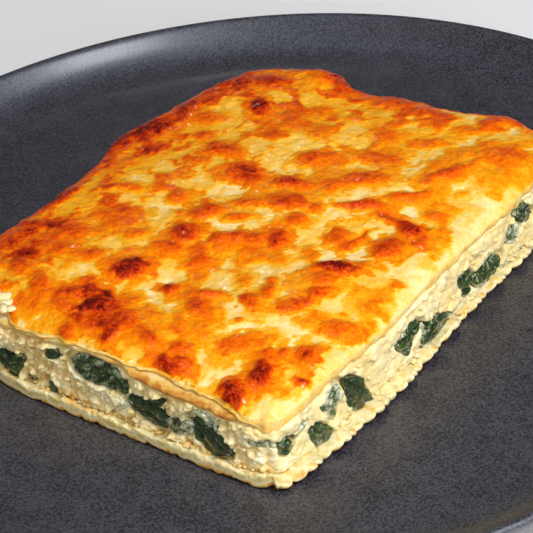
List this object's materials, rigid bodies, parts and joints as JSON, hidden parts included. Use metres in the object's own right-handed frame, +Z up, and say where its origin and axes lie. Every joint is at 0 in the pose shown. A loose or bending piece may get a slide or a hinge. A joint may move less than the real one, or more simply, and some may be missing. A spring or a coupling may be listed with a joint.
{
  "type": "plated lasagna portion",
  "caption": "Rectangular slab of spinach and ricotta lasagna with a browned cheese top, lying on a round dark stoneware plate with a low rim.",
  "frame": {"origin": "centre of the plate's foot, on the surface the plate stands on", "axes": "+Z up; the slab's long side runs along Y, its knife-cut short side faces -Y and its frilled long side faces +X"},
  "size_m": [0.27, 0.27, 0.0354],
  "materials": {
    "stoneware": "matt dark grey glaze with a fine speckle",
    "pasta": "cooked egg pasta, moist",
    "ricotta": "moist crumbly ricotta and cream",
    "spinach": "cooked spinach, dark and wet",
    "baked_cheese": "melted cheese, pale yellow to deep brown, with an oily sheen"
  },
  "bodies": {
    "root": {"plate": "stoneware", "bottom_pasta_sheet": "pasta", "ricotta_filling": "ricotta", "top_pasta_sheet": "pasta", "baked_cheese_top": "baked_cheese", "spinach_leaf_01": "spinach", "spinach_leaf_02": "spinach", "spinach_leaf_03": "spinach", "spinach_leaf_04": "spinach", "spinach_leaf_05": "spinach", "spinach_leaf_06": "spinach", "spinach_leaf_07": "spinach", "spinach_leaf_08": "spinach", "spinach_leaf_09": "spinach", "spinach_leaf_10": "spinach", "spinach_leaf_11": "spinach", "spinach_leaf_12": "spinach", "spinach_leaf_13": "spinach", "spinach_leaf_14": "spinach", "spinach_leaf_15": "spinach", "spinach_leaf_16": "spinach", "spinach_leaf_17": "spinach", "spinach_leaf_18": "spinach", "spinach_leaf_19": "spinach", "spinach_leaf_20": "spinach", "spinach_leaf_21": "spinach", "spinach_leaf_22": "spinach", "spinach_leaf_23": "spinach", "spinach_leaf_24": "spinach", "spinach_leaf_25": "spinach", "spinach_leaf_26": "spinach", "spinach_leaf_27": "spinach", "spinach_leaf_28": "spinach"}
  },
  "joints": []
}
